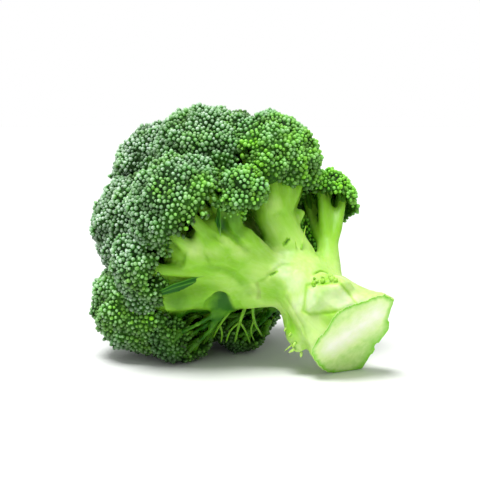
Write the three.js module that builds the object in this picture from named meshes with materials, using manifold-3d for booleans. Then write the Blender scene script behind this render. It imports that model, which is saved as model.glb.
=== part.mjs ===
// A head of broccoli lying on its side, millimetres, +Z up.
// Everything is grown upright about the centre of the crown (+Z towards the crown's tip), and the whole
// head is then laid over: the crown towards -X, the cut end of the stem towards +X.
import * as THREE from "three";
import { ConvexHull } from "three/addons/math/ConvexHull.js";
import Module from "manifold-3d";

const wasm = await Module();
wasm.setup();
const { Manifold, Mesh } = wasm;

// How the head lies
const STEM_SLOPE = 29.3; // degrees that the stem falls from level, towards its cut end
const CROWN_HEIGHT = 63.2; // crown centre above the surface that the head lies on
const CROWN_X = -9.96; // crown centre along X, which centres the head's box
const CROWN_Y = -2.55;

const SEAM = 0.3; // clear gap between neighbouring pieces
// Steps finer than this are smoothed away, by the first of these that will do
const FINEST = [0.22, 0.24, 0.26, 0.29, 0.32];

// Stem: stations from the cut end to where it runs out in the crown
const CUT_Z = -87; // centre of the cut face
const CUT_NORMAL = [-0.036, -0.338, -0.937];
const STEM_STATIONS = [
  { at: [0, 0, -98], radius: 21.4, flare: 1.25 },
  { at: [0, 0, -88], radius: 20.4, flare: 1 },
  { at: [0.8, 0, -80], radius: 18.3, flare: 0.7 },
  { at: [2.2, 0, -71], radius: 16.5, flare: 0.3 },
  { at: [3.4, 0, -62], radius: 16, flare: 0 },
  { at: [4.4, -0.5, -52], radius: 16.2, flare: 0 },
  { at: [4.6, -1, -43], radius: 14, flare: 0 },
  { at: [3.6, -0.6, -32], radius: 11, flare: 0 },
  { at: [1.6, 0, -19], radius: 9, flare: 0 },
  { at: [0, 0, -5], radius: 7, flare: 0 },
];
const STEM_SIDES = 15;
const FLARE_DEPTH = 3.6; // how far the cut end is drawn out to two sides
const FLARE_ANGLE = 12;
const BUTTRESS = 1.5; // ribs that run down to old leaf bases
const BUTTRESS_COUNT = 5;
const BUTTRESS_ANGLE = 24;

// Leaf bases and stubs on the stem
const STUBS = [
  { path: [[8, -4, -62], [14, -6, -70], [17.6, -7.5, -79]], radii: [7, 8.5, 7.5] },
  { path: [[12, 0, -66], [17, -1, -69.5], [20.6, -2, -70.5]], radii: [3.6, 3, 1.6] },
  { path: [[11, 4, -66], [16, 4.5, -68], [19, 5, -68.5]], radii: [3.4, 2.8, 1.5] },
  { path: [[-6, -4, -58], [-13, -9, -67], [-18.5, -11, -73]], radii: [7, 5.5, 2.2] },
  { path: [[-6, 6, -62], [-11, 9, -72], [-14, 12, -82]], radii: [7, 6.5, 4.5] },
];
const STUB_SIDES = 6;

// Flesh that fills the front branches out where they divide
const LIMBS = [
  { path: [[0.5, -10.3, -38], [3.8, -21, -29], [3.2, -32, -17.5], [0.6, -38, -10]], radii: [9, 9.5, 8, 5.5] },
  { path: [[8.5, -7, -34], [9, -21, -23], [7, -33, -10.5]], radii: [6, 6, 4.6] },
  { path: [[-5, -10, -41], [-2.8, -24, -31], [-4, -36, -15.5]], radii: [6, 6, 4.8] },
  { path: [[-6, -6, -44], [-9, -19, -34], [-17, -33, -24.5], [-25, -40, -15]], radii: [7, 6.5, 6, 5] },
  { path: [[8, 5, -47], [18, 1.5, -34], [27, -1.5, -22], [33, -3, -14]], radii: [9, 8, 7, 5.5] },
  { path: [[20, 3, -33], [32, 6, -25], [38, 10, -21]], radii: [6, 4.5, 3.5] },
];

// Florets: centre and radius of the head of buds, and the branch that carries it, from its parent to the
// hub where its branchlets part. A deep head sits among others, so it is closed below, and drop is how far
// a head reaches below its own middle, in radii, where that isn't RIM_DROP.
const FLORETS = [
  { name: "floret_top_right", centre: [39, 10, -1], radius: 27.5,
    branch: [[9, 3, -48], [19, 1, -33], [28, -2, -21]], girth: [10.5, 8.5, 7.5],
    sprigs: [[46, -8, -12, 9], [47, 4, -17, 8], [44, 16, -19, 7.5]] },
  { name: "floret_top", deep: true, centre: [27, -7, 24], radius: 29.5,
    branch: [[1, 0, -20], [5, -1, -5], [11, -2, 9]], girth: [7, 6.6, 6] },
  { name: "floret_small", centre: [35, -22, -15], radius: 14, drop: 0.5,
    branch: [[6, -5, -42], [13, -11, -32], [20, -17, -23]], girth: [5.5, 4.6, 4],
    sprigs: [[35, -15, -14, 8], [26, -24, -14, 8]] },
  { name: "floret_front", centre: [13, -34, 4], radius: 28, drop: 0.45,
    branch: [[4, -4, -50], [4.5, -14, -36], [4, -24, -23]], girth: [12, 11, 10],
    sprigs: [[25, -34, -8, 8], [17, -38, -4, 7.5]] },
  { name: "floret_front_left", deep: true, centre: [-9, -26, 24], radius: 30.5,
    branch: [[1.6, 0, -22], [-2, -9, -8], [-5, -17, 6]], girth: [7.5, 6.5, 6] },
  { name: "floret_front_low", centre: [-15, -39, 4], radius: 23, drop: 0.7,
    branch: [[2, -12, -38], [-4, -24, -26], [-8, -31, -15]], girth: [9, 7.5, 6.5],
    sprigs: [[-32, -43, 0, 9.5], [-24, -42, -6, 8]] },
  { name: "floret_low_left", centre: [-45, -29, 8], radius: 27, drop: 0.7,
    branch: [[1, -6, -48], [-10, -18, -37], [-19, -27, -25], [-27, -31, -13]],
    girth: [9.5, 9.5, 8.6, 7.5],
    sprigs: [[-44, -44, 5, 10], [-52, -39, -3, 10], [-41, -42, -6, 8]] },
  { name: "floret_low_front", centre: [-43, -25, -15], radius: 20, drop: 0.45,
    branch: [[-8, -15, -39], [-17, -20, -34], [-25, -22, -29]], girth: [7.5, 7, 6.2],
    sprigs: [[-47, -33, -18, 9]] },
  { name: "floret_low", centre: [-46, -3, 3], radius: 27,
    branch: [[0, -1, -34], [-14, -3, -24], [-28, -3, -13]], girth: [8, 7, 6.4] },
  { name: "floret_low_back", centre: [-38, 12, -24], radius: 19.5,
    branch: [[-2, 3, -52], [-11, 6, -46], [-19, 8, -39]], girth: [7.5, 6.8, 6] },
  { name: "floret_back_low", centre: [-38, 31, -3], radius: 29.5,
    branch: [[0, 5, -42], [-9, 14, -30], [-18, 22, -18]], girth: [9, 8, 7] },
  { name: "floret_back", centre: [3, 37, 3], radius: 30.5,
    branch: [[4, 6, -50], [4, 17, -36], [3, 26, -23]], girth: [9, 8.4, 7.5] },
  { name: "floret_right", centre: [32, 35.5, -25], radius: 17.5,
    branch: [[10, 8, -60], [16, 15, -52], [22, 23, -42]], girth: [8, 7.2, 6.6] },
  { name: "floret_back_top", deep: true, centre: [16, 23, 26], radius: 31,
    branch: [[1.6, 1, -20], [7, 8, -4], [12, 12, 12]], girth: [7, 6.2, 5.8] },
  { name: "floret_left_back", deep: true, centre: [-18, 24, 25], radius: 31,
    branch: [[0, 2, -18], [-7, 8, -4], [-13, 13, 10]], girth: [7, 6.4, 6] },
  { name: "floret_left", deep: true, centre: [-8, 8, 37], radius: 30,
    branch: [[0, 1, -10], [-2, 4, 6], [-4, 6, 22]], girth: [7, 6.4, 6] },
  { name: "floret_left_low", deep: true, centre: [-27, -9, 34], radius: 29,
    branch: [[0, -1, -14], [-8, -3, 0], [-15, -4, 14]], girth: [7, 6.4, 6] },
  { name: "floret_top_left", deep: true, centre: [8, -7, 41], radius: 30,
    branch: [[0, 0, -12], [4, -2, 6], [7, -4, 21]], girth: [7, 6.4, 6] },
];
const BRANCH_SIDES = 6;
const OPEN_BRANCH_STEPS = 2; // rings for each stretch of a branch that shows

// A head of buds
const BUD_SPACING = 9.2;
const BUD_HEIGHT = 2; // from the valley round a bud to its tip
const LOBE_SPACING = 15; // a head is made of smaller rounded tufts
const LOBE_DEPTH = 2.4;
const RIM_THICKNESS = 3.6; // thickness of the head at its rim
const TIP_THICKNESS = 10; // and at its middle
const RIM_DROP = 0.34; // how far the head reaches below its own middle, in radii
const HOLLOW_DETAIL = 1;
const SPRIG_DETAIL = 1;

// Branchlets that fan out under a head
const BRANCHLET_SIDES = 4;
const BRANCHLET_RADII = [3.8, 2.4];
const BRANCHLET_ROOT = 5; // how deep they start in the branch
const BRANCHLET_SPREAD = 58; // degrees from the branch's own line
const RADIUS_PER_BRANCHLET = 6.6;

// Small leaves left among the branches: a centre line, the widest half-width and the way it faces
const LEAVES = [
  { name: "leaf_front_low", path: [[-6, -30, -25], [-12, -40, -18], [-21, -47, -12]], width: 4 },
  { name: "leaf_top", path: [[29, -7, -20], [35, -9, -17], [42, -9, -12]], width: 3 },
  { name: "leaf_right", path: [[21, 21, -36], [26, 25, -32], [32, 28, -28]], width: 2.4 },
];
const LEAF_THICKNESS = 1;
const LEAF_SIDES = 6;
const LEAF_STEPS = 5;

const STALK_COLOUR = 0xb5d27a;
const BUD_COLOUR = 0x4f7a45;
const LEAF_COLOUR = 0x3f7a3c;

const GOLDEN_ANGLE = Math.PI * (3 - Math.sqrt(5));
const vector = (p) => new THREE.Vector3(...p);
const radians = THREE.MathUtils.degToRad;

// A repeatable stream of numbers from 0 to 1
function randomStream(seed) {
  let state = seed * 7919 + 17;
  return () => {
    state = (state * 16807) % 2147483647;
    return state / 2147483647;
  };
}

function solidFrom(points, faces) {
  const vertProperties = new Float32Array(points.flatMap((p) => [p.x, p.y, p.z]));
  return new Manifold(new Mesh({ numProp: 3, vertProperties, triVerts: new Uint32Array(faces.flat()) }));
}

// Frames along a curve that turn as little as they can
function framesAlong(curve, steps) {
  const frames = [];
  let across = null;
  for (let i = 0; i <= steps; i++) {
    const along = curve.getTangent(i / steps).normalize();
    across ??= new THREE.Vector3(1, 0, 0).cross(along).normalize();
    across = across.clone().addScaledVector(along, -across.dot(along)).normalize();
    frames.push({ at: curve.getPoint(i / steps), across, up: along.clone().cross(across) });
  }
  return frames;
}

// A closed skin over rings of points: section(i, angle) gives the offset across and up in ring i
function skin(curve, steps, sides, section, place = (p) => p) {
  const points = [];
  const faces = [];
  const frames = framesAlong(curve, steps);
  frames.forEach((frame, i) => {
    for (let k = 0; k < sides; k++) {
      const [u, v] = section(i / steps, (k * 2 * Math.PI) / sides);
      const p = frame.at.clone().addScaledVector(frame.across, u).addScaledVector(frame.up, v);
      points.push(i === steps ? place(p) : p);
    }
  });
  const first = points.push(frames[0].at.clone()) - 1;
  const last = points.push(place(frames[steps].at.clone())) - 1;
  for (let k = 0; k < sides; k++) {
    const next = (k + 1) % sides;
    faces.push([first, next, k]);
    faces.push([last, steps * sides + k, steps * sides + next]);
    for (let i = 0; i < steps; i++) {
      const a = i * sides + k;
      const b = i * sides + next;
      faces.push([a, b, b + sides], [a, b + sides, a + sides]);
    }
  }
  return solidFrom(points, faces);
}

// A value read between evenly spaced stations
function between(values, t) {
  const s = t * (values.length - 1);
  const i = Math.min(Math.floor(s), values.length - 2);
  return THREE.MathUtils.lerp(values[i], values[i + 1], s - i);
}

function tube(path, radii, sides, steps, place) {
  const curve = new THREE.CatmullRomCurve3(path.map(vector));
  const round = (t, angle) => {
    const r = between(radii, t);
    return [r * Math.cos(angle), r * Math.sin(angle)];
  };
  return skin(curve, steps, sides, round, place);
}

// The stem, drawn out to two sides and ribbed towards its cut end
function stem(grow) {
  const curve = new THREE.CatmullRomCurve3(STEM_STATIONS.map((s) => vector(s.at)));
  const radii = STEM_STATIONS.map((s) => s.radius);
  const flares = STEM_STATIONS.map((s) => s.flare);
  const section = (t, angle) => {
    const turned = angle - Math.PI / 2; // the frames start across Y
    const flare = between(flares, t);
    const ribs = BUTTRESS * Math.cos(BUTTRESS_COUNT * (turned - radians(BUTTRESS_ANGLE)));
    const drawn = FLARE_DEPTH * Math.cos(2 * (turned - radians(FLARE_ANGLE)));
    const r = between(radii, t) + grow + flare * (drawn + ribs);
    return [r * Math.cos(angle), r * Math.sin(angle)];
  };
  const whole = skin(curve, STEM_STATIONS.length - 1, STEM_SIDES, section);
  return whole.trimByPlane(CUT_NORMAL.map((n) => -n), -CUT_Z * CUT_NORMAL[2]);
}

function sideFlesh(grow) {
  return [...STUBS, ...LIMBS].map(({ path, radii }) => {
    return tube(path, radii.map((r) => r + grow), STUB_SIDES, path.length - 1);
  });
}

// The line that a head grows along, and the round hollow under it
function headAxis({ centre, branch }) {
  return vector(centre).sub(vector(branch.at(-1))).normalize();
}

function hollowOf(floret) {
  const drop = TIP_THICKNESS - RIM_THICKNESS;
  const centre = vector(floret.centre).addScaledVector(headAxis(floret), -drop);
  return { centre, radius: floret.radius - RIM_THICKNESS };
}

// Directions of branchlets about an axis: one in the middle and a ring round it
function fanDirections(axis, count, random) {
  const side = new THREE.Vector3(0.3, 0.9, 0.2).cross(axis).normalize();
  const start = random() * 2 * Math.PI;
  return Array.from({ length: count }, (_, i) => {
    const lean = i === 0 ? 8 : BRANCHLET_SPREAD * (0.92 + 0.16 * random());
    const turn = start + ((i + 0.3 * random()) * 2 * Math.PI) / (count - 1);
    return axis.clone().applyAxisAngle(side, radians(lean)).applyAxisAngle(axis, turn);
  });
}

// Branchlets from the hub to the hollow, each stopping just short of the head
function branchlets(floret, index, grow) {
  const random = randomStream(index + 1);
  const axis = headAxis(floret);
  const { centre, radius } = hollowOf(floret);
  const hub = vector(floret.branch.at(-1));
  const reach = radius * 0.9 - SEAM + grow * 0.6;
  const onto = (p) => p.clone().sub(centre).setLength(reach).add(centre);
  const spread = floret.girth.at(-1) * 0.6;
  const count = floret.deep ? 3 : Math.round(floret.radius / RADIUS_PER_BRANCHLET) + 1;
  return fanDirections(axis, count, random).map((direction) => {
    const end = centre.clone().addScaledVector(direction, reach);
    const outward = direction.clone().addScaledVector(axis, -direction.dot(axis));
    const root = hub.clone().addScaledVector(axis, -BRANCHLET_ROOT).addScaledVector(outward, spread);
    const radii = BRANCHLET_RADII.map((r) => r + grow);
    return tube([root.toArray(), end.toArray()], radii, BRANCHLET_SIDES, 1, onto);
  });
}

// The stem with every branch and branchlet, thickened by grow
function stalk(grow = 0) {
  const branches = FLORETS.map(({ branch, girth, deep }) => {
    const steps = (branch.length - 1) * (deep ? 1 : OPEN_BRANCH_STEPS);
    return tube(branch, girth.map((r) => r + grow), BRANCH_SIDES, steps);
  });
  const fans = FLORETS.flatMap((floret, i) => branchlets(floret, i, grow));
  return tidied(Manifold.union([stem(grow), ...sideFlesh(grow), ...branches, ...fans]));
}

// Evenly spread directions, each a little off its place
function spreadDirections(count, random) {
  const spin = random() * 2 * Math.PI;
  return Array.from({ length: count }, (_, i) => {
    const z = 1 - (2 * i + 1) / count;
    const angle = spin + i * GOLDEN_ANGLE;
    const r = Math.sqrt(1 - z * z);
    const off = 0.35 / Math.sqrt(count);
    return new THREE.Vector3(
      r * Math.cos(angle) + off * (random() - 0.5),
      r * Math.sin(angle) + off * (random() - 0.5),
      z + off * (random() - 0.5),
    ).normalize();
  });
}

const countFor = (radius, spacing) => Math.round((4 * Math.PI * radius ** 2) / (0.866 * spacing ** 2));

// How far a direction lies below the rounded tufts of a head
function tuftDrop(direction, tufts, radius) {
  const nearest = Math.max(...tufts.map((t) => t.dot(direction)));
  const away = (Math.acos(Math.min(1, nearest)) * radius) / (LOBE_SPACING * 0.58);
  return LOBE_DEPTH * Math.min(away ** 2, 1.2);
}

// A ball of buds: each bud is a low pyramid whose foot runs through the middles of the
// triangles between it and its neighbours
function budBall({ radius, centre }, index) {
  const random = randomStream(100 + index);
  const tufts = spreadDirections(countFor(radius, LOBE_SPACING), random);
  const buds = spreadDirections(countFor(radius, BUD_SPACING), random);
  const order = new Map(buds.map((b, i) => [b, i]));
  const height = (d, sink) => d.clone().multiplyScalar(radius - sink - tuftDrop(d, tufts, radius));
  const points = buds.map((b) => height(b, 0));
  const opposite = new Map();
  const triangles = new ConvexHull().setFromPoints(buds).faces.map((face) => {
    const corners = [face.edge, face.edge.next, face.edge.prev].map((e) => order.get(e.head().point));
    const middle = corners.reduce((sum, c) => sum.add(buds[c]), new THREE.Vector3()).normalize();
    const valley = points.push(height(middle, BUD_HEIGHT)) - 1;
    corners.forEach((c, i) => opposite.set(c + "_" + corners[(i + 1) % 3], valley));
    return { corners, valley };
  });
  const faces = [];
  for (const { corners, valley } of triangles)
    corners.forEach((c, i) => {
      const next = corners[(i + 1) % 3];
      const beyond = opposite.get(next + "_" + c);
      faces.push([c, beyond, valley]);
    });
  return solidFrom(points.map((p) => p.add(vector(centre))), faces);
}

// Keeps the side of a plane that a direction points to
function keepBeyond(solid, direction, point) {
  return solid.trimByPlane(direction.toArray(), direction.dot(point));
}

// Cuts a head back to its own share of the space between it and a neighbour
function clearOf(solid, floret, other) {
  const own = vector(floret.centre);
  const apart = own.clone().sub(vector(other.centre));
  const distance = apart.length();
  if (distance > floret.radius + other.radius) return solid;
  const share = (distance ** 2 + floret.radius ** 2 - other.radius ** 2) / (2 * distance);
  const inward = apart.normalize();
  return keepBeyond(solid, inward, own.addScaledVector(inward, SEAM / 2 - share));
}

function largestOf(solid) {
  return solid.decompose().reduce((best, piece) => (piece.volume() > best.volume() ? piece : best));
}

function cornersMeet(solid) {
  const { vertProperties: v } = solid.getMesh();
  const seen = new Set();
  for (let i = 0; i < v.length; i += 3) {
    const corner = [v[i], v[i + 1], v[i + 2]];
    const keys = [0, 0.5].map((shift) => corner.map((c) => Math.round(c * 400 + shift)).join());
    if (keys.some((key) => seen.has(key))) return true;
    keys.forEach((key) => seen.add(key));
  }
  return false;
}

// The largest piece of a solid without its slivers, and with no two corners in one place
function tidied(solid) {
  const tries = FINEST.map((step) => largestOf(solid.simplify(step)));
  return tries.find((piece) => !cornersMeet(piece)) ?? tries[0];
}

// A head: a ball of buds with a hollow for its branchlets, open towards its branch
// The small side sprigs of a head
function sprigBalls({ sprigs = [] }, grow = 0) {
  return sprigs.map(([x, y, z, radius]) => {
    const ball = new THREE.IcosahedronGeometry(radius + grow, SPRIG_DETAIL);
    return fromGeometry(ball).translate([x, y, z]);
  });
}

// Heads give way to the sprigs of others, and sprigs to those of the heads before their own
function withSprigs(solid, floret, index) {
  const others = FLORETS.filter((other) => other !== floret).flatMap((other) => sprigBalls(other, SEAM));
  const cleared = solid.subtract(Manifold.union(others));
  const before = FLORETS.slice(0, index).flatMap((other) => sprigBalls(other, SEAM));
  const own = Manifold.union(sprigBalls(floret));
  return cleared.add(before.length ? own.subtract(Manifold.union(before)) : own);
}

function head(floret, index, stalkClearance, leafClearance) {
  const axis = headAxis(floret);
  const { centre, radius } = hollowOf(floret);
  const ball = new THREE.IcosahedronGeometry(radius, HOLLOW_DETAIL);
  const hollow = fromGeometry(ball).translate(centre.toArray());
  const rim = vector(floret.centre).addScaledVector(axis, -(floret.drop ?? RIM_DROP) * floret.radius);
  let solid = keepBeyond(budBall(floret, index), axis, rim);
  for (const other of FLORETS) if (other !== floret) solid = clearOf(solid, floret, other);
  if (!floret.deep) solid = solid.subtract(hollow);
  solid = withSprigs(solid, floret, index);
  solid = solid.subtract(stalkClearance).subtract(leafClearance);
  return tidied(solid);
}

// A three.js geometry as a solid, its repeated points joined
function fromGeometry(geometry) {
  const position = geometry.getAttribute("position");
  const index = new Map();
  const points = [];
  const corners = [];
  for (let i = 0; i < position.count; i++) {
    const p = new THREE.Vector3().fromBufferAttribute(position, i);
    const key = p.toArray().map((c) => c.toFixed(4)).join();
    if (!index.has(key)) index.set(key, points.push(p) - 1);
    corners.push(index.get(key));
  }
  const faces = Array.from({ length: corners.length / 3 }, (_, i) => corners.slice(3 * i, 3 * i + 3));
  return solidFrom(points, faces);
}

// A thin pointed blade along a curve
function leaf({ path, width }, grow = 0) {
  const curve = new THREE.CatmullRomCurve3(path.map(vector));
  const section = (t, angle) => {
    const w = width * (0.35 + 0.65 * Math.sin(Math.PI * (0.2 + 0.75 * t))) + grow;
    const h = LEAF_THICKNESS * (0.75 - 0.2 * t) + grow;
    return [h * Math.cos(angle), w * Math.sin(angle)];
  };
  return skin(curve, LEAF_STEPS, LEAF_SIDES, section);
}

// Cuts a piece off flat where it meets the surface under the head
function rested(solid) {
  const slope = radians(STEM_SLOPE);
  return solid.trimByPlane([Math.cos(slope), 0, Math.sin(slope)], -CROWN_HEIGHT);
}

function meshOf(name, solid, colour, roughness) {
  const { vertProperties, triVerts } = solid.getMesh();
  const geometry = new THREE.BufferGeometry();
  geometry.setAttribute("position", new THREE.BufferAttribute(vertProperties, 3));
  geometry.setIndex(new THREE.BufferAttribute(triVerts, 1));
  geometry.computeVertexNormals();
  const material = new THREE.MeshStandardMaterial({ color: colour, roughness, metalness: 0 });
  const mesh = new THREE.Mesh(geometry, material);
  mesh.name = name;
  return mesh;
}

const grownStalk = stalk();
const stalkClearance = stalk(SEAM + FINEST[1]);
const leafClearance = Manifold.union(LEAVES.map((l) => leaf(l, SEAM)));

const broccoli = new THREE.Group();
broccoli.add(meshOf("stalk", rested(grownStalk), STALK_COLOUR, 0.55));
FLORETS.forEach((floret, i) => {
  const solid = head(floret, i, stalkClearance, leafClearance);
  broccoli.add(meshOf(floret.name, rested(solid), BUD_COLOUR, 0.8));
});
for (const l of LEAVES) {
  const solid = tidied(leaf(l).subtract(stalkClearance));
  broccoli.add(meshOf(l.name, rested(solid), LEAF_COLOUR, 0.6));
}
broccoli.rotation.y = -radians(90 - STEM_SLOPE);
broccoli.position.set(CROWN_X, CROWN_Y, CROWN_HEIGHT);

const laid = new THREE.Group();
laid.add(broccoli);
export default laid;
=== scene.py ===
import math
import random

import bmesh
import bpy
import numpy as np
from mathutils import Matrix, Vector, noise
from mathutils.bvhtree import BVHTree
from mathutils.kdtree import KDTree


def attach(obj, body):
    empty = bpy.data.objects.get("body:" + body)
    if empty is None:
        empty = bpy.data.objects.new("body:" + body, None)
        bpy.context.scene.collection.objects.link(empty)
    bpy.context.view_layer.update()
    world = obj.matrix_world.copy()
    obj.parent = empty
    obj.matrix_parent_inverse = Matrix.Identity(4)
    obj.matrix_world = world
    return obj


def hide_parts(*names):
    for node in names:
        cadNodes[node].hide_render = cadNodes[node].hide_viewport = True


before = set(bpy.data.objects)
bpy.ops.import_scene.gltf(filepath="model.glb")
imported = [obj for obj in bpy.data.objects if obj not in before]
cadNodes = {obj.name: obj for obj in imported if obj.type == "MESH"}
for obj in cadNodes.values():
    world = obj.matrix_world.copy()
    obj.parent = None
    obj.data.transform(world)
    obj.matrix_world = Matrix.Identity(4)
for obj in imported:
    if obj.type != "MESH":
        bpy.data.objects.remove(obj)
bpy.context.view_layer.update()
scene = bpy.context.scene
mm = 0.001
print("frame loaded:", len(cadNodes), "nodes")


def metres(point):  # a place in mm as one in m
    return Vector(point) * mm


def clamp(value, low=0, high=1):
    return max(low, min(high, value))


# How the head lies. It is grown upright about the middle of its crown, z towards the crown's tip, and laid over.
lie = {"stemSlope": 29.3, "crown": (-9.96, -2.55, 63.2)}
slope = math.radians(lie["stemSlope"])
crownMiddle = metres(lie["crown"])
laidOver = Matrix.Translation(crownMiddle) @ Matrix((
    (math.sin(slope), 0, -math.cos(slope), 0),
    (0, 1, 0, 0),
    (math.cos(slope), 0, math.sin(slope), 0),
    (0, 0, 0, 1),
))


def grown(point):  # a place in the upright head, in mm, as a place in the laid one, in m
    return laidOver @ metres(point)


def grownWay(direction):
    return (laidOver.to_3x3() @ Vector(direction)).normalized()


cameraLook = {"azimuth": 38.9, "elevation": 7.0, "distance": 480, "aimRight": 8.1, "aimDown": 4.05,
              "lens": 71.0, "sensor": 36, "nearest": 0.01}


def makeCamera():  # gives the ways back from the object and to the right
    look = cameraLook
    az = math.radians(look["azimuth"])
    el = math.radians(look["elevation"])
    back = Vector((math.sin(az) * math.cos(el), -math.cos(az) * math.cos(el), math.sin(el)))
    right = Vector((math.cos(az), math.sin(az), 0))
    up = back.cross(right)
    cameraData = bpy.data.cameras.new("camera")
    cameraData.lens = look["lens"]
    cameraData.sensor_width = look["sensor"]
    cameraData.sensor_fit = "HORIZONTAL"
    cameraData.clip_start = look["nearest"]
    camera = bpy.data.objects.new("camera", cameraData)
    scene.collection.objects.link(camera)
    place = crownMiddle + (right * look["aimRight"] - up * look["aimDown"]) * mm
    place += back * look["distance"] * mm
    turn = Matrix((right, up, back)).transposed().to_4x4()
    camera.matrix_world = Matrix.Translation(place) @ turn
    scene.camera = camera
    return back, right


cameraBack, cameraRight = makeCamera()
print("camera made")


def newMaterial(name, look):
    material = bpy.data.materials.new(name)
    material.use_nodes = True
    tree = material.node_tree
    shader = tree.nodes["Principled BSDF"]
    for socket, value in look["finish"].items():  # the shader's own sockets
        shader.inputs[socket].default_value = value
    return material, tree


def addNode(tree, kind, inputs=None, **settings):
    node = tree.nodes.new(kind)
    for key, value in settings.items():
        setattr(node, key, value)
    for key, value in (inputs or {}).items():
        if hasattr(value, "is_output"):
            tree.links.new(value, node.inputs[key])
        else:
            node.inputs[key].default_value = value
    return node


def objectPlace(tree):
    return addNode(tree, "ShaderNodeTexCoord").outputs["Object"]


def addNoise(tree, vector, scale, detail, roughness=0.55):
    inputs = {"Vector": vector, "Scale": scale, "Detail": detail, "Roughness": roughness}
    return addNode(tree, "ShaderNodeTexNoise", inputs).outputs["Fac"]


def addRamp(tree, factor, stops):
    ramp = addNode(tree, "ShaderNodeValToRGB", {"Fac": factor})
    elements = ramp.color_ramp.elements
    while len(elements) < len(stops):
        elements.new(0.5)
    for element, (position, colour) in zip(elements, stops):
        element.position = position
        element.color = (*colour, 1)
    return ramp.outputs["Color"]


def addFade(tree, factor, stops):  # a ramp of greys
    return addRamp(tree, factor, [(position, (grey, grey, grey)) for position, grey in stops])


def addMix(tree, factor, first, second, blend="MIX"):
    first, second = [(*value, 1) if isinstance(value, tuple) else value for value in (first, second)]
    inputs = {0: factor, 6: first, 7: second}  # the places of the colour sockets
    return addNode(tree, "ShaderNodeMix", inputs, data_type="RGBA", blend_type=blend).outputs[2]


def addMath(tree, operation, first, second, clamped=False):
    return addNode(tree, "ShaderNodeMath", {0: first, 1: second}, operation=operation, use_clamp=clamped).outputs[0]


def addRange(tree, value, ends):
    return addNode(tree, "ShaderNodeMapRange", {"Value": value, **ends}).outputs["Result"]


def dressed(material, colour, relief, look):  # joins the colour and the relief to the shader
    tree = material.node_tree
    shader = tree.nodes["Principled BSDF"]
    inputs = {"Height": relief, "Strength": look["bump"], "Distance": look["bumpDepth"]}
    bump = addNode(tree, "ShaderNodeBump", inputs)
    tree.links.new(colour, shader.inputs["Base Color"])
    tree.links.new(bump.outputs["Normal"], shader.inputs["Normal"])
    return material


def splitTone(tree):  # the red, green, blue and alpha of a piece's tone attribute
    tone = addNode(tree, "ShaderNodeAttribute", attribute_name="tone")
    parts = addNode(tree, "ShaderNodeSeparateColor", {"Color": tone.outputs["Color"]})
    return parts.outputs["Red"], parts.outputs["Green"], parts.outputs["Blue"], tone.outputs["Alpha"]


budLook = {
    # Up each bud: near-black at its base as painted shade between the buds, then green; the pale speckled bloom on
    # its upper part is partly real wax and partly a painted highlight.
    "flank": [(0.25, (0.006, 0.032, 0.002)), (0.68, (0.065, 0.350, 0.010))],
    "waxy": (0.390, 0.570, 0.350), "paleWaxy": (0.74, 0.84, 0.79), "waxAndHighlightRise": {"From Min": 0.48, "From Max": 0.90},
    "fresh": (0.28, 0.78, 0.008), "freshDeep": (0.035, 0.12, 0.006), "shade": {"To Min": 0.22, "To Max": 1.2},
    "speckleScale": 900, "speckle": 1.1, "waxCover": 0.95, "patchScale": 90, "patch": 0.35,
    "grainScale": 1600, "bump": 0.35, "bumpDepth": 0.0004,
    "finish": {"Roughness": 0.48, "Specular IOR Level": 0.45, "Subsurface Weight": 0.06,
               "Subsurface Radius": (0.3, 0.6, 0.1), "Subsurface Scale": 0.001},
}


def makeBudMaterial():  # tone: red runs up each bud, green is how waxy it is, blue how fresh, alpha the painted light and shade laid on it
    look = budLook
    material, tree = newMaterial("buds", look)
    height, waxy, fresh, budPaintedLight = splitTone(tree)
    place = objectPlace(tree)
    speckle = addNoise(tree, place, look["speckleScale"], 3)
    patches = addNoise(tree, place, look["patchScale"], 2)
    # painted shade at each bud's base, and a pale top that is partly wax and partly painted highlight
    flank = addRamp(tree, height, look["flank"])
    bloom = addMix(tree, addMath(tree, "MULTIPLY", speckle, look["speckle"], True), look["waxy"], look["paleWaxy"])
    cover = addMath(tree, "MULTIPLY", addRange(tree, height, look["waxAndHighlightRise"]), waxy)
    coloured = addMix(tree, addMath(tree, "MULTIPLY", cover, look["waxCover"], True), flank, bloom)
    freshCover = addMath(tree, "MULTIPLY", fresh, addMath(tree, "ADD", patches, look["patch"]), True)
    coloured = addMix(tree, freshCover, coloured, addMix(tree, height, look["freshDeep"], look["fresh"]))
    # painted light and shade: the alpha darkens buds in creases and facing down, and brightens or darkens whole
    # heads
    coloured = addMix(tree, 1.0, coloured, addRange(tree, budPaintedLight, look["shade"]), "MULTIPLY")
    return dressed(material, coloured, addNoise(tree, place, look["grainScale"], 2), look)


tuftLook = {
    # near-black greens between the buds: the under-layer's dark green darkened further as painted shade
    "dark": [(0.35, (0.003, 0.014, 0.002)), (0.62, (0.012, 0.055, 0.005)), (0.75, (0.04, 0.15, 0.012))],
    "bright": [(0.35, (0.02, 0.12, 0.004)), (0.7, (0.13, 0.42, 0.02))],
    "grainScale": 700, "bump": 0.8, "bumpDepth": 0.0012,
    "finish": {"Roughness": 0.7, "Specular IOR Level": 0.2},
}


def makeTuftMaterial():  # what shows between and under the buds, its dark greens deepened to near black as painted shade; the blue of its tone is how fresh it is
    look = tuftLook
    material, tree = newMaterial("tufts", look)
    _, _, fresh, _ = splitTone(tree)
    grain = addNoise(tree, objectPlace(tree), look["grainScale"], 4)
    coloured = addMix(tree, fresh, addRamp(tree, grain, look["dark"]), addRamp(tree, grain, look["bright"]))
    return dressed(material, coloured, grain, look)


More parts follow.
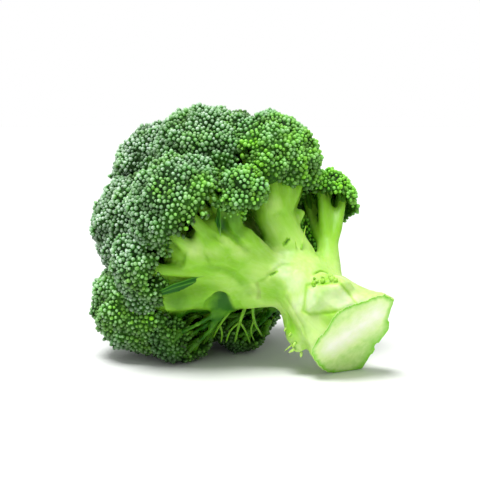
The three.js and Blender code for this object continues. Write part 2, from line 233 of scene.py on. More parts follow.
stalkLook = {
    "palest": (0.72, 0.86, 0.48), "greener": (0.22, 0.56, 0.02), "greenerBy": 0.6, "scar": (0.24, 0.36, 0.06),
    "skin": [(0.0, (0.72, 0.86, 0.48)), (0.25, (0.52, 0.78, 0.18)), (0.55, (0.29, 0.62, 0.030)),
             (1.0, (0.020, 0.130, 0.001))],  # from old to young; the dark young end also serves as painted shade
    "rings": [(0.0, (0.95, 0.98, 0.80)), (0.5, (0.69, 0.89, 0.36)), (1.0, (0.20, 0.62, 0.012))],  # heart to rim
    "streakScale": 520, "streaks": [(0.42, 0), (0.8, 0.6)], "paleStreaks": 0.5,
    "cloudScale": 95, "clouds": [(0.45, 0), (0.7, 0.75)], "mottleScale": 240, "mottle": 0.55,
    "grainScale": 600, "grain": 0.35, "bump": 0.22, "bumpDepth": 0.0010,
    "finish": {"Roughness": 0.42, "Specular IOR Level": 0.25, "Subsurface Weight": 0.35,
               "Subsurface Radius": (0.8, 1.2, 0.15), "Subsurface Scale": 0.003},
}


def makeStalkMaterial():  # tone: red is how young, and how deep in painted shade, green how near the cut's rim, blue the cut face, alpha 0 a scar
    look = stalkLook
    material, tree = newMaterial("stalk", look)
    young, reach, cut, mark = splitTone(tree)
    place = objectPlace(tree)
    fibre = addNode(tree, "ShaderNodeAttribute", attribute_name="fibre").outputs["Vector"]
    streaks = addNoise(tree, fibre, look["streakScale"], 4, 0.6)
    clouds = addNoise(tree, place, look["cloudScale"], 3)
    skin = addRamp(tree, young, look["skin"])
    oldness = addMath(tree, "MULTIPLY", addMath(tree, "SUBTRACT", 1.0, young), look["paleStreaks"], True)
    skin = addMix(tree, addFade(tree, streaks, look["streaks"]), skin, addMix(tree, oldness, skin, look["palest"]))
    greener = addMix(tree, look["greenerBy"], skin, look["greener"])
    skin = addMix(tree, addFade(tree, clouds, look["clouds"]), skin, greener)
    mottle = addMath(tree, "SUBTRACT", addNoise(tree, place, look["mottleScale"], 5), 0.5)
    reach = addMath(tree, "ADD", reach, addMath(tree, "MULTIPLY", mottle, look["mottle"]), True)
    whole = addMix(tree, cut, skin, addRamp(tree, reach, look["rings"]))
    grain = addMath(tree, "MULTIPLY", addNoise(tree, place, look["grainScale"], 3), look["grain"])
    return dressed(material, addMix(tree, mark, look["scar"], whole), addMath(tree, "ADD", streaks, grain), look)


leafLook = {
    "blade": [(0.0, (0.14, 0.40, 0.03)), (0.14, (0.02, 0.13, 0.006)), (0.8, (0.01, 0.085, 0.008)),
              (1.0, (0.10, 0.36, 0.02))],  # from midrib to edge
    "vein": (0.03, 0.17, 0.015), "veinScale": 420, "veins": 0.4,
    "base": (0.30, 0.52, 0.13), "baseFade": [(0.0, 1), (0.35, 0)], "bump": 0.4, "bumpDepth": 0.0006,
    "finish": {"Roughness": 0.5, "Specular IOR Level": 0.2},
}


def makeLeafMaterial():  # tone: red runs from base to tip, green from midrib to edge
    look = leafLook
    material, tree = newMaterial("leaf", look)
    along, across, _, _ = splitTone(tree)
    veins = addNoise(tree, objectPlace(tree), look["veinScale"], 4)
    blade = addRamp(tree, across, look["blade"])
    blade = addMix(tree, addMath(tree, "MULTIPLY", veins, look["veins"]), blade, look["vein"])
    coloured = addMix(tree, addFade(tree, along, look["baseFade"]), blade, look["base"])
    return dressed(material, coloured, veins, look)


budMaterial = makeBudMaterial()
tuftMaterial = makeTuftMaterial()
stalkMaterial = makeStalkMaterial()
leafMaterial = makeLeafMaterial()
print("materials made")


def newPiece(name, mesh, material, replaced):
    piece = bpy.data.objects.new(name, mesh)
    scene.collection.objects.link(piece)
    mesh.materials.clear()
    mesh.materials.append(material)
    mesh.shade_smooth()
    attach(piece, "root")
    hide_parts(replaced)


def pieceName(node):
    first, *rest = node.split("_")
    return first + "".join(word.capitalize() for word in rest)


def toMesh(bm, name):
    mesh = bpy.data.meshes.new(name)
    bm.to_mesh(mesh)
    bm.free()
    return mesh


def joined(meshes, gap):  # all of them in one bmesh, merged where vertices are nearer than this gap in mm
    bm = bmesh.new()
    for mesh in meshes:
        bm.from_mesh(mesh)
    bmesh.ops.remove_doubles(bm, verts=bm.verts, dist=gap * mm)
    return bm


def meshAfter(mesh, *modifiers):  # the mesh as these modifiers leave it
    helper = bpy.data.objects.new("helper", mesh)
    scene.collection.objects.link(helper)
    for kind, settings in modifiers:
        modifier = helper.modifiers.new(kind.lower(), kind)
        for key, value in settings.items():
            setattr(modifier, key, value)
    evaluated = helper.evaluated_get(bpy.context.evaluated_depsgraph_get())
    result = bpy.data.meshes.new_from_object(evaluated)
    bpy.data.objects.remove(helper)
    return result


def oneSkin(mesh, look):  # a single smooth skin around everything in the mesh
    return meshAfter(mesh, ("REMESH", {"mode": "VOXEL", "voxel_size": look["voxel"] * mm}),
                     ("SMOOTH", {"factor": 0.5, "iterations": look["smoothing"]}))


def rodsMesh(rods, sides=3, steps=6):  # rods: lists of (place in the upright head in mm, radius in mm)
    curve = bpy.data.curves.new("rods", "CURVE")
    curve.dimensions = "3D"
    curve.bevel_depth = mm
    curve.bevel_resolution = sides
    curve.resolution_u = steps
    curve.use_fill_caps = True
    for rod in rods:
        spline = curve.splines.new("BEZIER")
        spline.bezier_points.add(len(rod) - 1)
        for knot, (place, radius) in zip(spline.bezier_points, rod):
            knot.co = Vector(place) * mm
            knot.radius = radius
            knot.handle_left_type = knot.handle_right_type = "AUTO"
    return meshAfter(curve)


def nearTree(places):
    tree = KDTree(len(places))
    for i, place in enumerate(places):
        tree.insert(place, i)
    tree.balance()
    return tree


def reachesFrom(place, spot, reach):  # how far it is to a spot, in reaches
    return (place - metres(spot)).length / (reach * mm)


def footOn(place, begin, end):  # the place between two others that is nearest to this one
    return begin.lerp(end, clamp((place - begin).dot(end - begin) / (end - begin).length_squared))


def head(centre, radius, branch, girth, **more):
    return {"centre": centre, "radius": radius, "branch": branch, "girth": girth, **more}


# Each head of buds: its centre and radius, the branch to the hub where its branchlets part, and that branch's radii.
# deep: closed below. drop: how far it reaches below its middle, in radii. Its painted light and shade level sets how
# bright its buds are, and fresh how yellow-green. shade: how dark its branch, partly painted shade. stem: another
# way for the branch. fine, lean, fingers, inner: its branchlets. sprigs fill it out beside its neighbours, and
# closers close a gap: place and radius.
floretForms = {
    "floret_top_right": head((39, 10, -1), 27.5, [(9, 3, -48), (19, 1, -33), (28, -2, -21)], [10.5, 8.5, 7.5],
        open=1.12, fresh=0.8, sprigs=[((46, -8, -12), 9), ((47, 4, -17), 8), ((44, 16, -19), 7.5)],
        closers=[((55.5, -1.5, -11), 7.5), ((53, -5.5, -9), 7)]),
    "floret_top": head((27, -7, 24), 29.5, [(1, 0, -20), (5, -1, -5), (11, -2, 9)], [7, 6.6, 6], deep=True,
        fresh=0.55, closers=[((48.6, 10.6, 23.4), 7.5), ((50.5, 4.3, 19.0), 7)]),
    "floret_small": head((35, -22, -15), 14, [(6, -5, -42), (13, -11, -32), (20, -17, -23)], [5.5, 4.8, 4.2, 3.8],
        drop=0.5, open=1.6,
        stem=[(6.9, -15, -36.5), (14.0, -24.4, -26.7), (20.7, -26.9, -21.1), (27.6, -27.6, -17.2)], fingers=0,
        inner=0, shade=0.05, fresh=1.1, sprigs=[((35, -15, -14), 8), ((26, -24, -14), 8)]),
    "floret_front": head((13, -34, 4), 28, [(4, -4, -50), (4.5, -14, -36), (4, -24, -23)], [12, 11, 10], drop=0.45,
        fresh=0.45, sprigs=[((25, -34, -8), 8), ((17, -38, -4), 7.5)]),
    "floret_front_left": head((-9, -26, 24), 30.5, [(1.6, 0, -22), (-2, -9, -8), (-5, -17, 6)], [7.5, 6.5, 6],
        deep=True),
    "floret_front_low": head((-15, -39, 4), 23, [(2, -12, -38), (-4, -24, -26), (-8, -31, -15)], [9, 7.5, 6.5],
        drop=0.7, open=1.1, sprigs=[((-32, -43, 0), 9.5), ((-24, -42, -6), 8)]),
    "floret_low_left": head((-45, -29, 8), 27, [(1, -6, -48), (-10, -18, -37), (-19, -27, -25), (-27, -31, -13)],
        [9.5, 6.5, 5.5, 5.5], drop=0.7, fine=0.7, shade=0.1, open=1.12, fresh=0.5,
        sprigs=[((-44, -44, 5), 10), ((-52, -39, -3), 10), ((-41, -42, -6), 8)]),
    "floret_low_front": head((-43, -25, -15), 20, [(-8, -15, -39), (-17, -20, -34), (-25, -22, -29)], [5.5, 4, 3.2],
        drop=0.45, fine=0.8, shade=0.7, open=0.5, fresh=0.5, sprigs=[((-47, -33, -18), 9)]),
    "floret_low": head((-46, -3, 3), 27, [(0, -1, -34), (-14, -3, -24), (-28, -3, -13)], [8, 7, 6.4]),
    "floret_low_back": head((-38, 12, -24), 19.5, [(-2, 3, -52), (-11, 6, -46), (-19, 8, -39)], [6.5, 3.4, 2.6],
        fine=0.8, shade=0.7, open=0.45, fresh=0.6),
    "floret_back_low": head((-38, 31, -3), 29.5, [(0, 5, -42), (-9, 14, -30), (-18, 22, -18)], [9, 7.5, 6],
        fine=0.6, shade=0.6),
    "floret_back": head((3, 37, 3), 30.5, [(4, 6, -50), (4, 17, -36), (3, 26, -23)], [9, 8.4, 7.5]),
    "floret_right": head((32, 35.5, -25), 17.5, [(10, 8, -60), (16, 15, -52), (22, 23, -42)], [8, 5.8, 5.2],
        lean=0.75, open=1.9, fresh=1.8, closers=[((15, 26, -30), 8), ((12, 24, -37), 6)]),
    "floret_back_top": head((16, 23, 26), 31, [(1.6, 1, -20), (7, 8, -4), (12, 12, 12)], [7, 6.2, 5.8], deep=True),
    "floret_left_back": head((-18, 24, 25), 31, [(0, 2, -18), (-7, 8, -4), (-13, 13, 10)], [7, 6.4, 6], deep=True),
    "floret_left": head((-8, 8, 37), 30, [(0, 1, -10), (-2, 4, 6), (-4, 6, 22)], [7, 6.4, 6], deep=True),
    "floret_left_low": head((-27, -9, 34), 29, [(0, -1, -14), (-8, -3, 0), (-15, -4, 14)], [7, 6.4, 6], deep=True,
        open=1.12),
    "floret_top_left": head((8, -7, 41), 30, [(0, 0, -12), (4, -2, 6), (7, -4, 21)], [7, 6.4, 6], deep=True),
}
headShape = {"rimThickness": 3.6, "tipThickness": 10, "rimDrop": 0.34}
tufts = {"voxel": 1.5, "smoothing": 3, "sink": 2.0, "big": 14, "bigHeight": 1.3, "small": 7.2, "smallHeight": 2.6,
         "hiddenBelow": 6, "fresh": 0.06, "freshUnder": 0.4, "lowest": 0.1}
buds = {  # across and tall are half of a bud's width and height
    "spacing": 2.0, "across": 1.04, "tall": (1.35, 1.725), "sides": 6, "rows": 4, "deepest": 5.5,
    "crowding": 3, "sizes": (0.78, 0.9, 1, 1.06, 1.16), "sizeSpread": (0.92, 1.08), "tilt": 0.3,
    "seat": (-0.55, 0.45), "lowest": 1.6, "seed": 40,
}
# Younger yellow-green spots: place, reach in mm, strength.
freshSpots = [
    ((23, -49, -13), 9, 1.0), ((49, -6, -3), 8, 0.9), ((57, 12, 2), 7, 0.8), ((-22, -58, -4), 9, 0.6),
    ((-44, -50, 4), 9, 0.5), ((44, 42, -28), 12, 1.0), ((27, -47, 2), 6, 0.6), ((30, -36, -12), 6, 0.7),
    ((44, 29, -33), 14, 1.3), ((58, 18, -18), 12, 1.1), ((33.6, -43, -8), 8, 1.2), ((54.2, -13.7, -13), 5, 0.9),
]
bareSpots = [((38.5, -9, -20), 5.5), ((43, -10.5, -17), 4.0)]  # without buds: place and reach


def headAxis(form):
    return (Vector(form["centre"]) - Vector(form["branch"][-1])).normalized()


def hollowOf(form):  # the middle and radius of the hollow under a head
    drop = headShape["tipThickness"] - headShape["rimThickness"]
    return Vector(form["centre"]) - headAxis(form) * drop, form["radius"] - headShape["rimThickness"]


def cells(place, across):  # 1 in the middle of each lump of this size, 0 in the creases between them
    near = noise.voronoi(place / (across * mm))[0][0]
    return max(0, 1 - near * near * 1.7)


def relief(place):
    return tufts["bigHeight"] * cells(place, tufts["big"]) + tufts["smallHeight"] * cells(place, tufts["small"])


def tuftMesh(node, form):  # the solid head under the buds, with its lumps
    bm = joined([cadNodes[node].data], 0.02)
    for middle, radius in form.get("closers", []):
        bmesh.ops.create_icosphere(bm, subdivisions=3, radius=radius * mm, matrix=Matrix.Translation(grown(middle)))
    mesh = oneSkin(toMesh(bm, "plain"), tufts)
    shifts = [v.normal * (relief(v.co) - tufts["sink"]) * outerness(v.co, v.normal, form) * mm
              for v in mesh.vertices]
    for v, shift in zip(mesh.vertices, shifts):
        v.co += shift
        v.co.z = max(v.co.z, tufts["lowest"] * mm)
    mesh.update()
    return mesh


def outerness(place, normal, form):  # 1 where a head carries buds, fading to 0 inside its hollow
    away = place - grown(form["centre"])
    shallow = form["radius"] - away.length / mm < buds["deepest"] + 1
    best = clamp((normal.dot(away.normalized()) - 0.1) * 3) if shallow else 0
    for middle, radius in form.get("sprigs", []) + form.get("closers", []):
        out = place - grown(middle)
        if out.length < radius * 1.2 * mm and normal.dot(out.normalized()) > 0.35:
            best = 1
    if any((place - grown(spot)).length < reach * mm for spot, reach in bareSpots):
        best = 0
    return best


def scattered(places, spacing, stream):  # picks places at least this far apart
    stream.shuffle(places)
    steps = [(i, j, k) for i in (-1, 0, 1) for j in (-1, 0, 1) for k in (-1, 0, 1)]
    taken = {}
    kept = []
    for place, normal in places:
        x, y, z = (math.floor(c / spacing) for c in place)
        near = (other for i, j, k in steps for other in taken.get((x + i, y + j, z + k), ()))
        if any((place - other).length_squared < spacing * spacing for other in near):
            continue
        taken.setdefault((x, y, z), []).append(place)
        kept.append((place, normal))
    return kept


def pushApart(places, spacing, rounds):  # evens out the gaps between points on a surface
    for _ in range(rounds):
        tree = nearTree([place for place, _ in places])
        moved = []
        for i, (place, normal) in enumerate(places):
            push = Vector()
            for near, j, distance in tree.find_n(place, 7):
                if j != i and distance < spacing:
                    push += (place - near).normalized() * (spacing - distance) * 0.4
            push -= normal * push.dot(normal)
            moved.append((place + push, normal))
        places = moved
    return places


def budPlaces(mesh, form, stream):
    tree = BVHTree.FromPolygons([v.co for v in mesh.vertices], [p.vertices for p in mesh.polygons])
    spacing = buds["spacing"] * mm
    wanted = [(v.co + Vector([stream.uniform(-0.5, 0.5) * mm for _ in range(3)]), v.normal) for v in mesh.vertices
              if outerness(v.co, v.normal, form) > 0.35]
    seated = []
    for place, normal in pushApart(scattered(wanted, spacing * 0.8, stream), spacing, buds["crowding"]):
        hit, surface, _, _ = tree.find_nearest(place)
        seated.append((hit, surface.lerp(normal, 0.3).normalized()))
    return seated


def budForm():  # one bud, a rough ball with a radius of 1
    bm = bmesh.new()
    bmesh.ops.create_uvsphere(bm, u_segments=buds["sides"], v_segments=buds["rows"], radius=1)
    return toMesh(bm, "bud")


def manyMesh(mesh, frames, grade):  # a copy of the mesh at each frame, toned up its height and by its own grade
    copies = meshAfter(mesh, ("ARRAY", {"count": len(frames), "use_relative_offset": False}))
    shape = np.empty(len(mesh.vertices) * 3)
    mesh.vertices.foreach_get("co", shape)
    shape = shape.reshape(-1, 3)
    turns = np.array([[row[:3] for row in matrix[:3]] for matrix in frames])
    seats = np.array([matrix.translation[:] for matrix in frames])
    places = np.einsum("nij,kj->nki", turns, shape) + seats[:, None, :]
    copies.vertices.foreach_set("co", places.ravel())
    tones = np.ones((len(frames), len(shape), 4))
    tones[:, :, 0] = (shape[:, 2] - shape[:, 2].min()) / np.ptp(shape[:, 2])
    tones[:, :, 1:] = np.array(grade)[:, None, :]
    layer = copies.attributes.new("tone", "FLOAT_COLOR", "POINT")
    layer.data.foreach_set("color", tones.ravel())
    copies.update()
    return copies


def toneTufts(mesh, form):
    middle = grown(form["centre"])
    axis = grownWay(headAxis(form))
    layer = mesh.attributes.new("tone", "FLOAT_COLOR", "POINT")
    for v, tone in zip(mesh.vertices, layer.data):
        away = v.co - middle
        # painted shade: deep inside the head the fresh colour is halved, so it stays darker
        shadedDeep = away.length < (form["radius"] - tufts["hiddenBelow"]) * mm
        fresh = tufts["freshUnder"] if away.normalized().dot(axis) < 0.1 else tufts["fresh"]
        tone.color = (0.5, 0, fresh * (0.5 if shadedDeep else 1), 1)


budTone = {  # how a bud's place sets its colour and its painted shade: crease is 1 between lumps, tip is 1 at the crown's tip
    "young": 0.2, "patchScale": 75, "patchFrom": 0.62, "patchYoung": 0.25, "patchEdge": 5, "patchCrease": 0.65,
    "spotEdge": 1.3, "under": 0.1, "underFresh": 1.2, "creaseFresh": 0.5, "tipHeight": 45, "tipFresh": 0.6,
    "creaseWax": 0.5, "youngWax": 0.35, "tipWax": 0.5, "paintedLightFrom": 1.15, "creaseShade": 0.9, "shadeUnder": 0.75,
}


def budMesh(solid, form, stream):
    middle = grown(form["centre"])
    axis = grownWay(headAxis(form))
    look = budTone
    young = form.get("fresh", look["young"])
    headPaintedLight = form.get("open", 1)
    frames, grade = [], []
    for place, normal in budPlaces(solid, form, stream):
        if place.z < buds["lowest"] * mm:
            continue
        lean = (place - middle).normalized().dot(axis)
        crease = 1 - cells(place, tufts["small"])
        size = stream.choice(buds["sizes"]) * stream.uniform(*buds["sizeSpread"])
        patch = 0.5 + 0.5 * noise.noise(place * look["patchScale"])
        fresh = clamp((patch - look["patchFrom"] + young * look["patchYoung"]) * look["patchEdge"])
        fresh *= 1 - look["patchCrease"] + look["patchCrease"] * crease
        for spot, reach, strength in freshSpots:
            fresh += strength * max(0, look["spotEdge"] - (place - grown(spot)).length / (reach * mm))
        fresh += max(0, look["under"] - lean) * look["underFresh"] + crease * young * look["creaseFresh"]
        fresh = min(1, fresh) * stream.uniform(0.4, 1.0)
        tip = clamp((laidOver.inverted() @ place).z / mm / look["tipHeight"])
        waxy = stream.uniform(0.45, 1.0) * (1 - look["creaseWax"] * crease) * (1 - look["youngWax"] * young)
        waxy *= (1 + look["tipWax"] * tip) * min(1, headPaintedLight)
        fresh *= 1 - look["tipFresh"] * tip
        # painted shade: buds in creases and facing down get darker, and each head's painted light level brightens or
        # darkens all its buds
        below = clamp(0.25 - normal.z)
        budPaintedLight = clamp(look["paintedLightFrom"] - look["creaseShade"] * crease) * stream.uniform(0.8, 1)
        budPaintedLight *= (1 - look["shadeUnder"] * below) * headPaintedLight
        across = buds["across"] * size * mm
        tall = size * stream.uniform(*buds["tall"]) * mm
        tilt = Vector([stream.uniform(-buds["tilt"], buds["tilt"]) for _ in range(3)])
        turn = (normal + tilt).normalized().to_track_quat("Z", "Y").to_matrix().to_4x4()
        seat = Matrix.Translation(place + normal * (0.15 + stream.uniform(*buds["seat"])) * mm)
        frames.append(seat @ turn @ Matrix.Diagonal((across, across, tall, 1)))
        grade.append((waxy, fresh, budPaintedLight))
    return manyMesh(budForm(), frames, grade)


def makeFlorets():
    count = 0
    for i, (node, form) in enumerate(floretForms.items()):
        solid = tuftMesh(node, form)
        toneTufts(solid, form)
        newPiece(pieceName(node) + "Tufts", solid, tuftMaterial, node)
        many = budMesh(solid, form, random.Random(buds["seed"] + i))
        newPiece(pieceName(node) + "Buds", many, budMaterial, node)
        count += len(many.polygons)
    print("florets made:", count, "bud faces")


makeFlorets()


stemForm = {
    "stations": [((0, 0, -98), 21.4), ((0, 0, -88), 20.4), ((0.8, 0, -80), 18.3), ((2.2, 0, -71), 16.5),
                 ((3.4, 0, -62), 16), ((4.4, -0.5, -52), 16.2), ((4.6, -1, -43), 14), ((3.6, -0.6, -32), 11),
                 ((1.6, 0, -19), 9), ((0, 0, -5), 7)],
    "cutPlace": (0, 0, -87), "cutWay": (-0.036, -0.338, -0.937),
    "flareDepth": 3.6, "flareAngle": 12, "ribs": 5, "ribDepth": 1.5, "ribAngle": 24,
    "flareStart": -64, "flareFull": -88, "mostFlare": 1.3,
    "lobes": [(76, 3.4, 18), (135, 9.6, 22), (24, 0.6, 14)],  # corners of the cut end: angle, height, width
}
stubForms = [  # what is left of the leaf stems that were cut off
    [((8, -4, -62), 7), ((14, -6, -70), 8.5), ((17.6, -7.5, -79), 7.5)],
    [((12, 0, -66), 3.6), ((17, -1, -69.5), 3), ((20.6, -2, -70.5), 1.6)],
    [((11, 4, -66), 3.4), ((16, 4.5, -68), 2.8), ((19, 5, -68.5), 1.5)],
    [((-6, -4, -58), 7), ((-13, -9, -67), 5.5), ((-18.5, -11, -73), 2.2)],
    [((-6, 6, -62), 7), ((-11, 9, -72), 6.5), ((-14, 12, -82), 4.5)],
]
limbForms = [  # flesh that fills a branch out where it divides
    [((0.5, -10.3, -38), 9), ((3.8, -21, -29), 9.5), ((3.2, -32, -17.5), 8), ((0.6, -39, -9), 6)],
    [((8.5, -7, -34), 6), ((9, -21, -23), 6), ((7.8, -31, -13), 5), ((6.3, -36, -7.5), 4.5)],
    [((-5, -10, -41), 6), ((-2.8, -24, -31), 6), ((-1.9, -32, -20), 5), ((-4.9, -39, -12), 4.5)],
    [((-6, -6, -44), 7), ((-9, -19, -34), 6.5), ((-17, -33, -24.5), 6), ((-27, -42, -13), 5)],
    [((8, 5, -47), 9), ((18, 1.5, -34), 8), ((27, -1.5, -22), 7), ((34, -3, -13), 5.5)],
    [((20, 3, -33), 5), ((26.9, 7.6, -30.6), 2.6), ((30.6, 11.4, -29.5), 2.1)],
    [((4, -4, -42), 7), ((9, -10, -33), 5)],
    [((3.8, -10.8, -35.3), 9), ((4.3, -21.8, -29.7), 7.5), ((9.5, -31.1, -18.8), 8), ((7.6, -38.1, -11.3), 7)],
    [((4.3, -13.8, -32.1), 6), ((8.3, -23.6, -23.5), 5.5), ((13.6, -34.4, -14.2), 6), ((14.0, -38.1, -9.9), 5.5)],
    [((0.1, -16.0, -32.3), 8), ((1.7, -31.7, -22.3), 7), ((-0.5, -40.4, -12.4), 6.5)],
    [((-0.4, -32.0, -17.4), 6), ((-5.5, -36.6, -8.3), 6), ((-10.4, -38.2, -1.6), 5)],
    [((10.8, -26.6, -20.7), 6.5), ((15.0, -32.6, -15.8), 5), ((17.9, -35.5, -12.9), 4.5)],
    [((11.7, -1.2, -37.7), 8), ((20.2, -2.5, -28.5), 7.5), ((27.3, -4.9, -18.6), 7), ((31.4, -3.6, -13.3), 6)],
    [((4.2, -34.1, -16.3), 6), ((0.6, -38.7, -10.0), 6), ((-3.7, -40.2, -5.2), 5)],
    [((10.9, -13.9, -36.7), 5), ((17.1, -20.6, -31.1), 3.4), ((21.7, -25.0, -26.3), 2.2)],
]


def stemMesh():
    form = stemForm
    bm = joined([rodsMesh([form["stations"]], 10, 6)], 0.01)
    for v in bm.verts:
        flare = (form["flareStart"] * mm - v.co.z) / ((form["flareStart"] - form["flareFull"]) * mm)
        flare = clamp(flare, 0, form["mostFlare"])
        angle = math.atan2(v.co.y, v.co.x)
        drawn = form["flareDepth"] * math.cos(2 * (angle - math.radians(form["flareAngle"])))
        ribs = form["ribDepth"] * math.cos(form["ribs"] * (angle - math.radians(form["ribAngle"])))
        for where, height, width in form["lobes"]:
            off = math.remainder(math.degrees(angle) - where, 360) / width
            drawn += height * math.exp(-off * off)
        outward = Vector((v.co.x, v.co.y, 0))
        if outward.length > mm:
            v.co += outward.normalized() * (drawn + ribs) * flare * mm
    cut = bmesh.ops.bisect_plane(bm, geom=bm.verts[:] + bm.edges[:] + bm.faces[:], clear_outer=True,
                                 plane_co=metres(form["cutPlace"]), plane_no=form["cutWay"])
    rim = [e for e in cut["geom_cut"] if isinstance(e, bmesh.types.BMEdge)]
    bmesh.ops.contextual_create(bm, geom=rim)
    bmesh.ops.recalc_face_normals(bm, faces=bm.faces)
    return toMesh(bm, "stem")


def leaned(axis, side, lean, turn):  # a way that leans off the axis and turns about it
    return Matrix.Rotation(turn, 3, axis) @ (Matrix.Rotation(lean, 3, side) @ axis)


branchlets = {"root": 4.2, "end": 2.3, "start": 5, "ring": 60, "innerRing": 30, "inner": 3, "perRadius": 3.2,
              "sunk": 1.2, "aside": 0.62, "sag": 1.2, "bow": 1.5, "seed": 200}


def branchletRods(form, seed):
    stream = random.Random(seed)
    axis = headAxis(form)
    hollow, reach = hollowOf(form)
    hub = Vector(form["branch"][-1])
    girth = form["girth"][-1]
    side = axis.orthogonal().normalized()
    count = 0 if form.get("deep") else form.get("fingers", round(form["radius"] / branchlets["perRadius"]))
    start = stream.uniform(0, math.tau)
    rods = []
    few = form.get("inner", branchlets["inner"])
    fine = form.get("fine", 1)
    for i in range(count + few):
        inner = i < few
        lean = branchlets["innerRing"] if inner else branchlets["ring"] * form.get("lean", 1)
        lean = math.radians(lean * stream.uniform(0.88, 1.08))
        turn = start + math.tau * (i / few if inner else (i - few) / count) + stream.uniform(-0.15, 0.15)
        way = leaned(axis, side, lean, turn)
        end = hollow + way * (reach + branchlets["sunk"])
        outward = way - axis * way.dot(axis)
        root = hub - axis * branchlets["start"] + outward * girth * branchlets["aside"]
        bend = root.lerp(end, 0.5) - axis * branchlets["sag"] + outward * branchlets["bow"]
        thick = branchlets["root"] * min(1, girth / 7) * fine
        thin = branchlets["end"] * min(1, girth / 6) * fine
        rods.append([(root, thick), (bend, (thick + thin) * 0.48), (end, thin)])
    return rods


pedicels = {"root": 1.5, "middle": 0.8, "end": 0.8, "each": 5, "spread": 24, "from": (0.1, 0.5), "sunk": 1.5,
            "seed": 300}


def pedicelRods(form, rods, seed):
    stream = random.Random(seed)
    axis = headAxis(form)
    hollow, reach = hollowOf(form)
    lowest = -form.get("drop", headShape["rimDrop"]) * form["radius"]
    thin = []
    for (root, _), (bend, _), (end, _) in rods:
        for i in range(pedicels["each"]):
            begin = bend.lerp(end, stream.uniform(*pedicels["from"]))
            turn = math.tau * (i + stream.uniform(-0.3, 0.3)) / pedicels["each"]
            way = (end - hollow).normalized()
            lean = math.radians(pedicels["spread"] * stream.uniform(0.6, 1.1))
            tip = hollow + leaned(way, way.orthogonal(), lean, turn) * (reach + pedicels["sunk"])
            if (tip - Vector(form["centre"])).dot(axis) < lowest:
                continue
            knee = begin.lerp(tip, 0.5) + (end - root).normalized()
            thin.append([(begin, pedicels["root"]), (knee, pedicels["root"] * pedicels["middle"]),
                         (tip, pedicels["end"])])
    return thin


def stalkGuide():  # places along every rod with their direction and youth; a head's shade adds painted shade to its branch as more youth
    stations = [Vector(place) for place, _ in stemForm["stations"]]
    guide = [(place.lerp(ahead, t), (ahead - place).normalized(), 0.2 + clamp((place.z + 70) / 60) * 0.4)
             for place, ahead in zip(stations, stations[1:]) for t in (0, 0.5)]
    for form in floretForms.values():
        branch = [Vector(p) for p in form["branch"]] + [Vector(form["centre"])]
        for i, (place, ahead) in enumerate(zip(branch, branch[1:])):
            for t in (0, 0.33, 0.67):
                youth = (i + t) / (len(branch) - 1)
                young = 0.2 + 0.6 * youth + form.get("shade", 0) * min(1, 3 * youth)
                guide.append((place.lerp(ahead, t), (ahead - place).normalized(), young))
    return guide


def offPath(v, path):  # how far a vertex is from a path drawn on the skin, measured along the skin
    nearest = 1
    for begin, end in zip(path, path[1:]):
        away = v.co - footOn(v.co, metres(begin), metres(end))
        high = away.dot(v.normal)
        if abs(high) < 3 * mm:
            nearest = min(nearest, (away - v.normal * high).length)
    return nearest


scars = [([(1.4, -21.7, -42.9), (-1.8, -21.1, -44.9), (-4.9, -21.1, -46.5)], 1.5, 0.55),  # path, width, strength
         ([(2.2, -22.3, -43.4), (-4.4, -20.6, -47.4)], 0.5, 0.7)]
washes = [  # paler (below 0) and greener (above 0) patches, some greener ones darkening shaded places as painted shade: place, reach, shift
    ((16.5, -8, -86), 9, -0.25), ((3, -16, -63), 5, -0.15), ((8, -13.5, -80), 6, 0.3), ((-9, -14, -62), 7, 0.25),
    ((5, -20, -52), 6, 0.22), ((7.5, -44.5, -15.1), 7, -0.35), ((5.3, -41, -19), 6, -0.2),
    ((15.7, -32.5, -24.4), 5, -0.35), ((13, -27.8, -30.4), 6, -0.3), ((9.7, -37, -23.8), 5, -0.15),
    ((33.4, -9.4, -24.2), 6, -0.35), ((24.1, -10.1, -28.8), 7, -0.15), ((17.9, -15.5, -31.5), 6, -0.3),
    ((7.4, -29.5, -31.7), 6, 0.12), ((-16, -37.4, -27.9), 8, 0.1), ((-20.6, -42.9, -20.2), 7, 0.2),
    ((-12.3, -28.7, -35), 7, -0.1), ((12, -16, -56), 7, -0.2), ((12, -15, -47), 6, -0.25), ((14, -9, -42), 7, -0.2),
    ((9, -15, -66), 5, -0.2), ((24, -2, -70), 6, -0.2), ((-14, -14, -78), 6, 0.2),
    ((22.5, -29.5, -21.5), 8.5, 0.22), ((-17, -27, -33), 7, 0.4), ((-12, -30, -33), 5, 0.12),
    ((17.5, -28.5, -26.5), 4.5, 0.12), ((23.9, -14.1, -19.2), 4, 0.3), ((-1.4, -16.8, -49), 6, 0.28),
    ((1, -15.6, -56.6), 5, 0.2), ((-12.1, -14.7, -66.7), 6, 0.22), ((2.1, -20.4, -44.9), 4, 0.15),
]


